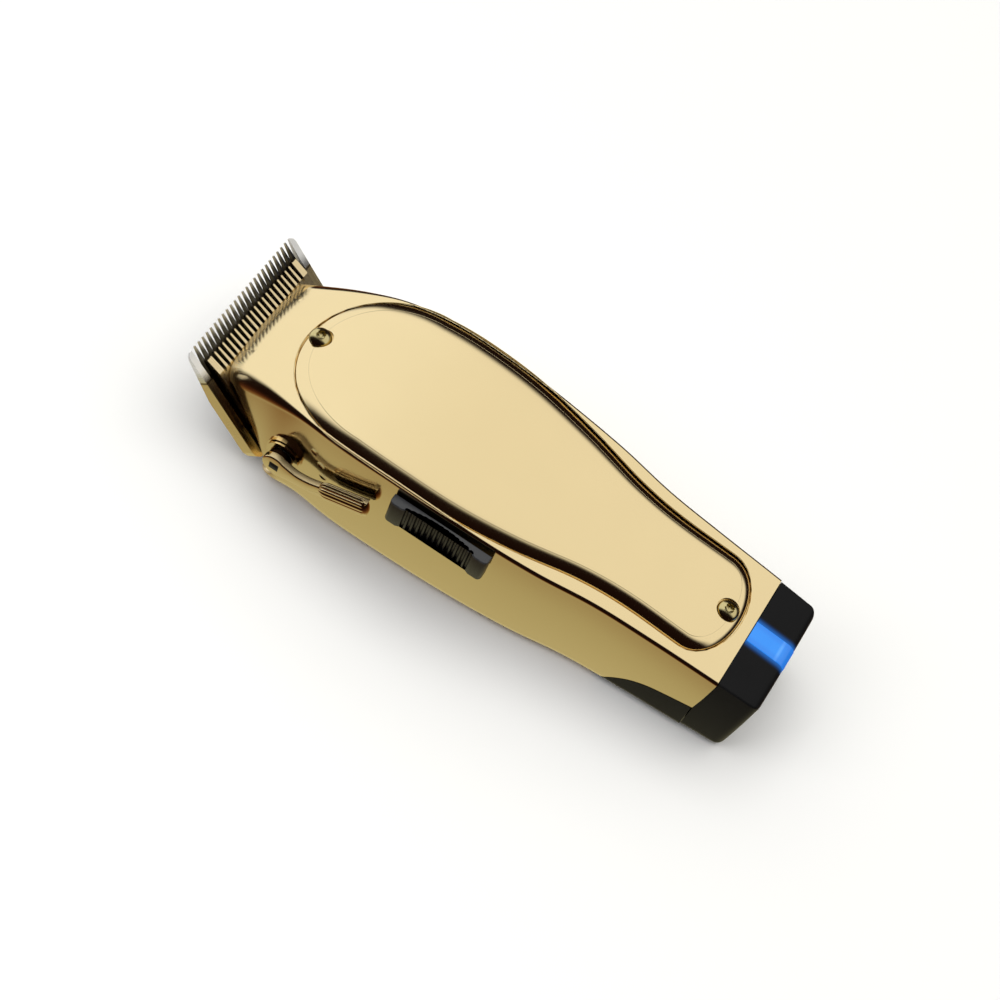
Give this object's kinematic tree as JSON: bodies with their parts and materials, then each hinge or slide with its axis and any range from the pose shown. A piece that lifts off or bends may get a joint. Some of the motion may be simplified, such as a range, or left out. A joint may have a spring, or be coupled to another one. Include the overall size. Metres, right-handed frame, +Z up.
{
  "type": "hair clipper",
  "caption": "Cordless hair clipper with polished metal housing, screwed lid, inclined blade set, taper lever, slide switch and lit end cap.",
  "frame": {"origin": "centre of the flat underside, 81 mm behind the tips of the fixed blade", "axes": "+Y along the body towards the charging end, +Z up through the lid, +X towards the taper lever and the power switch; the blade set is at the -Y end"},
  "size_m": [0.053, 0.1631, 0.0388],
  "materials": {
    "polished_gold": "die cast, gold plated and mirror polished",
    "blade_steel": "ground",
    "fixed_blade_steel": "gold plated steel with ground teeth",
    "machined_steel": "satin",
    "black_plastic": "satin moulded",
    "grey_plastic": "moulded",
    "white_plastic": "moulded acetal",
    "light_guide": "clear, lit blue",
    "brass": "turned",
    "circuit_board": "solder mask",
    "cell_sleeve": "shrink sleeve",
    "nickel": "nickel strip"
  },
  "bodies": {
    "body": {"housing": "polished_gold", "lid": "polished_gold", "lid_screw_front": "polished_gold", "lid_screw_rear": "polished_gold", "bottom_cover": "black_plastic", "end_cap": "black_plastic", "light_guide": "light_guide", "charge_socket": "black_plastic", "charge_pin": "machined_steel", "cover_screw_left": "machined_steel", "cover_screw_right": "machined_steel", "cap_screw_left": "machined_steel", "cap_screw_right": "machined_steel", "battery_cell": "cell_sleeve", "battery_cradle": "black_plastic", "battery_tab_front": "nickel", "battery_tab_rear": "nickel", "circuit_board": "circuit_board", "driver_chip": "black_plastic", "charge_chip": "black_plastic", "capacitor": "machined_steel", "status_led": "light_guide", "board_screw_1": "machined_steel", "board_screw_2": "machined_steel", "motor_case": "machined_steel", "motor_end_bell": "white_plastic", "motor_mount": "machined_steel", "motor_screw_left": "machined_steel", "motor_screw_right": "machined_steel", "arm_pivot_pin": "machined_steel", "slide_switch": "grey_plastic"},
    "rotor": {"motor_shaft": "machined_steel", "motor_eccentric": "brass"},
    "arm": {"drive_arm": "white_plastic"},
    "cutting_blade": {"cutter": "blade_steel", "cutter_drive_block": "white_plastic"},
    "blade_carriage": {"fixed_blade": "fixed_blade_steel", "blade_bracket": "machined_steel", "blade_screw_left": "machined_steel", "blade_screw_right": "machined_steel", "tension_spring": "machined_steel"},
    "lever": {"taper_lever": "polished_gold", "lever_shaft": "machined_steel", "lever_washer": "white_plastic"},
    "switch": {"switch_button": "black_plastic", "switch_carriage": "black_plastic"}
  },
  "joints": [
    {"name": "rotor_turn", "type": "hinge", "parent": "body", "child": "rotor", "pos_m": [0, -0.039, 0.017], "axis": [0, 1, 0], "continuous": true},
    {"name": "arm_swing", "type": "hinge", "parent": "body", "child": "arm", "pos_m": [0, -0.0485, 0.017], "axis": [0, 0, 1], "range_deg": [-7.66, 7.66]},
    {"name": "cutter_stroke", "type": "slide", "parent": "body", "child": "cutting_blade", "axis": [1, 0, 0], "range_m": [-0.00153, 0.00153]},
    {"name": "lever_turn", "type": "hinge", "parent": "body", "child": "lever", "pos_m": [0.025, -0.0497, 0.0175], "axis": [1, 0, 0], "range_deg": [0, 40]},
    {"name": "blade_set", "type": "slide", "parent": "body", "child": "blade_carriage", "axis": [0, 0.6959, -0.7181], "range_m": [0, 0.00245]},
    {"name": "switch_slide", "type": "slide", "parent": "body", "child": "switch", "axis": [0, 1, 0], "range_m": [0, 0.0045]}
  ],
  "couplings": [
    {"joint": "arm_swing", "follows": "cutter_stroke", "rad_per_m": 86.957},
    {"joint": "lever_turn", "follows": "blade_set", "rad_per_m": 283.85}
  ]
}
